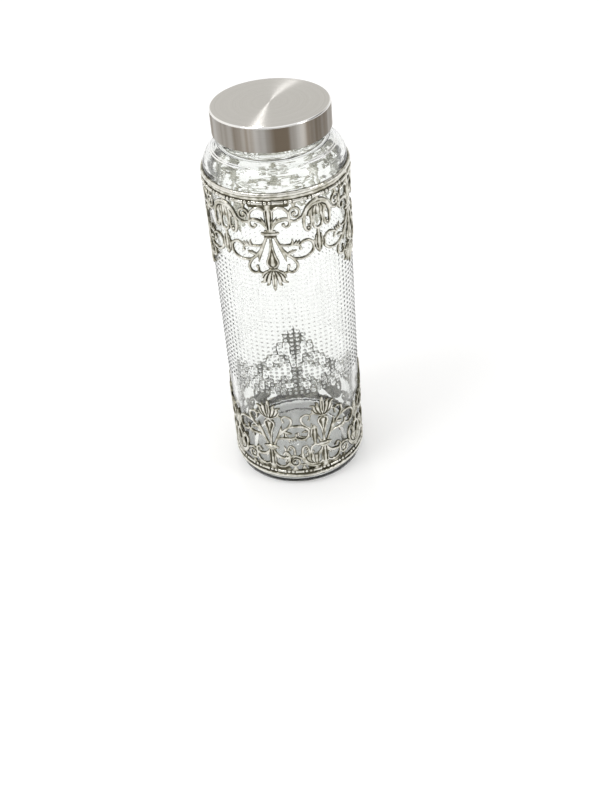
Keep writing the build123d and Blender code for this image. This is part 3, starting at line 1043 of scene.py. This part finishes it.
def stripTree():
    bench, v = newTree("galleryStrip", stripCounts, stripLengths + stripShares)

    # the pendants: one cell each, with cut faces only at the two ends of the strip
    spots = bench.line(v["pendants"], bench.combine(v["pitch"]))
    numbered = bench.stored(spots, "INT", "cellIndex", bench.node("GeometryNodeInputIndex"))
    cells = bench.realized(bench.onPoints(numbered, v["Geometry"]))
    cell, side = [bench.node("GeometryNodeInputNamedAttribute", Name=name,
                             settings={"data_type": "INT"}) for name in ("cellIndex", "endSide")]
    leftInner = (side > 0.5) * (side < 1.5) * (cell > 0.5)
    rightInner = (side > 1.5) * (cell < v["pendants"] - 1.5)
    kept = bench.node("GeometryNodeDeleteGeometry", Geometry=cells,
                      Selection=leftInner + rightInner > 0.5, settings={"domain": "FACE"})
    whole = bench.joined(bench.merged(kept, band["weld"]), beadAndBarRow(bench, v))

    # roll it round the glass; the first end runs thin under the last, which is lifted over it
    x, y, z = bench.position()
    underEnd = v["cutLeft"] + v["overlap"]
    overEnd = v["cutLeft"] + v["pitch"] * v["pendants"] - v["overlap"]
    under = 1 - bench.smooth(x, underEnd, underEnd + v["fade"])
    over = bench.smooth(x, overEnd - v["fade"], overEnd)
    height = z * (1 - under * v["under"] - over * v["over"]) + over * v["lift"]
    turn = v["first"] + x / v["pitch"] * v["angle"]
    place = bench.roundAxis(v["bore"] + height, turn, v["middle"] + y)
    return endTree(bench, bench.moved(whole, place), v["finish"])


rimWire = {
    "columns": 240, "sectionPoints": 13, "depth": 1.38, "half": 1.3,
    "flat": 0.25,  # the section's straight sides before its round starts
    # painted shade over the wire, and a painted highlight over the section's angles given in shine
    "tone": 0.05, "shineTone": 0.90,
    "jointReach": 24,  # degrees over which the end that lies on top thickens
    "jointRise": 0.19, "jointPinch": 0.06,
}


def rimPiece(name, node, spec, jointTurn):
    # half-round wire, drawn a little thicker and higher towards the end that lies on top
    w = rimWire
    bore, middle = band["bore"], spec["middle"]
    section, marks = [(bore, middle - w["half"])], [w["tone"]]
    for angle in np.linspace(-90, 90, w["sectionPoints"]):
        out = w["flat"] + (w["depth"] - w["flat"]) * math.cos(math.radians(angle))
        section.append((bore + out, middle + w["half"] * math.sin(math.radians(angle))))
        # painted highlight between the shine angles, painted shade elsewhere
        marks.append(w["tone"] + w["shineTone"] * np.interp(angle, spec["shine"], (0, 1, 1, 0)))
    section.append((bore, middle + w["half"]))
    marks.append(w["tone"])

    def joint(radii, heights, turns):
        back = np.arange(len(turns))[::-1] * 360 / len(turns)
        rise = np.clip(1 - back / w["jointReach"], 0, 1)
        rise = rise * rise * (3 - 2 * rise)
        return (radii + (radii - bore) * w["jointRise"] * rise,
                heights - (heights - middle) * w["jointPinch"] * rise)

    points, faces = lathe(section, w["columns"], joint, start=jointTurn)
    piece = meshPiece(name, points, faces, stripSilver)
    keep(piece.data, "tarnishAndPaintedLight", "FLOAT", "POINT", np.repeat(marks, w["columns"]).tolist())
    outwards(piece)
    shaded(piece)
    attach(piece, "bottle")
    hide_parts(node)


def silverBands():
    bench = stripTree()
    for label in ("upper", "lower"):
        spec = {**band, **band[label]}
        pendants, angle = spec["pendants"], spec["angle"]
        endTurn = math.radians(spec["first"] + (spec["cutLeft"] / spec["pitch"] + pendants) * angle)
        spec.update(overlap=(pendants * angle - 360) / angle * spec["pitch"],
                    row=-spec["down"] * spec["row"], first=math.radians(spec["first"]),
                    angle=math.radians(angle))
        values = {name: spec[name] for name in stripCounts + stripShares}
        values.update({name: spec[name] * mm for name in stripLengths}, finish=stripSilver)
        strip = grown(cellPiece(spec), bench, values, label + "Filigree", spec["thinning"])
        shaded(strip, spec["sharpAbove"])
        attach(strip, "bottle")
        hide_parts(label + "_filigree")
        rimPiece(label + "RimWire", label + "_rim_wire", spec, endTurn)
        print(label, "band made of", len(strip.data.polygons), "faces")


silverBands()


# floor, light and camera

stage = {
    "floorSize": 24.0, "floorLevel": -0.0002,
    "floorColour": (0.82, 0.82, 0.82, 1), "floorRoughness": 0.8, "floorShine": 0.1,
    "floorGlow": 0.26,
    "glowsFor": ("Is Camera Ray", "Is Glossy Ray", "Is Transmission Ray"),
    "horizon": (0.95, 0.95, 0.95, 1), "horizonFade": (0.19, 0.30),
    "ceiling": (0.95, 0.95, 0.95, 1), "ceilingFade": (0.60, 0.80),
    "wallTint": (1.0, 0.985, 0.95, 1),
    # brightness of the walls by direction, in degrees from the camera's side towards +X
    "walls": [(-180, 0.82), (-150, 0.95), (-108, 1.0), (-72, 0.95), (-62, 0.75), (-51, 0.38),
              (-42, 0.34), (-8, 0.38), (4, 0.38), (12, 0.46), (46, 0.46), (52, 1.0),
              (70, 1.0), (78, 0.14), (112, 0.14), (126, 0.45), (150, 0.85), (180, 0.82)],
}


def layFloor():
    size, level = stage["floorSize"] / 2, stage["floorLevel"]
    corners = [(x * size, y * size, level) for x, y in ((-1, -1), (1, -1), (1, 1), (-1, 1))]
    constants = {"Base Color": stage["floorColour"], "Roughness": stage["floorRoughness"],
                 "Specular IOR Level": stage["floorShine"]}
    material, bench, sockets, _ = newMaterial("paleFloor", constants)
    shader, end = [material.node_tree.nodes[n] for n in ("Principled BSDF", "Material Output")]
    seen = [bench.node("ShaderNodeLightPath", out=ray) for ray in stage["glowsFor"]]
    share = bench.clamp(seen[0] + seen[1] + seen[2])
    glow = bench.node("ShaderNodeEmission", Strength=share * stage["floorGlow"])
    both = bench.node("ShaderNodeAddShader", Flow(bench, shader.outputs[0]), glow)
    bench.plug(both, end.inputs["Surface"])
    meshPiece("floor", corners, [(0, 1, 2, 3)], material)


def softRoom():
    # a pale room: white near the floor, with dimmer and brighter walls higher up
    world = bpy.data.worlds.new("softRoom")
    bpy.context.scene.world = world
    world.use_nodes = True
    bench = Bench(world.node_tree)
    back = world.node_tree.nodes["Background"]
    x, y, z = bench.split(bench.node("ShaderNodeTexCoord", out="Generated"))
    turn = bench.maths("ARCTAN2", x, y * -1.0) / fullTurn + 0.5
    stops = [((angle + 180) / 360, (level, level, level, 1)) for angle, level in stage["walls"]]
    walls = bench.colours(1.0, bench.ramp(turn, stops), stage["wallTint"], "MULTIPLY")
    room = bench.colours(bench.smooth(z, *stage["horizonFade"]), stage["horizon"], walls)
    room = bench.colours(bench.smooth(z, *stage["ceilingFade"]), room, stage["ceiling"])
    bench.plug(room, back.inputs["Color"])
    back.inputs["Strength"].default_value = 1.0


lamps = {
    "skyPanel": {"place": (-0.6, -0.35, 1.2), "target": (0, 0, 0.1), "size": (0.4, 0.4),
                 "power": 3.6},
    "sidePanel": {"place": (0.9, -0.5, 0.8), "target": (0, 0, 0.1), "size": (0.25, 0.5),
                  "power": 1.6},
    "streakPanel": {"place": (-0.08, 1.30, 1.243), "target": (0, 0, 0.2245),
                    "size": (0.035, 0.035), "power": 1.6},
}


def hangLamps():
    for name, spec in lamps.items():
        data = bpy.data.lights.new(name, "AREA")
        data.shape = "RECTANGLE"
        data.size, data.size_y = spec["size"]
        data.energy = spec["power"]
        lamp = newObject(name, data)
        lamp.location = spec["place"]
        lamp.rotation_mode = "QUATERNION"
        aim = Vector(spec["target"]) - Vector(spec["place"])
        lamp.rotation_quaternion = aim.to_track_quat("-Z", "Y")


photoCamera = {
    "place": (0, -0.5176, 0.4464),
    "turn": (53.72716, 3.59823, -3.89694),
    "lens": 49.45, "sensor": 36, "shift": (-0.0151, -0.0598), "near": 0.01,
}


def placeCamera():
    c = photoCamera
    data = bpy.data.cameras.new("photoCamera")
    eye = newObject("photoCamera", data)
    turn = Euler([math.radians(angle) for angle in c["turn"]])
    eye.matrix_world = Matrix.LocRotScale(Vector(c["place"]), turn, None)
    data.sensor_width = c["sensor"]
    data.lens = c["lens"]
    data.shift_x, data.shift_y = c["shift"]
    data.clip_start = c["near"]
    bpy.context.scene.camera = eye


layFloor()
softRoom()
hangLamps()
placeCamera()
bpy.context.scene.view_settings.view_transform = "Standard"
print("floor, light and camera placed")
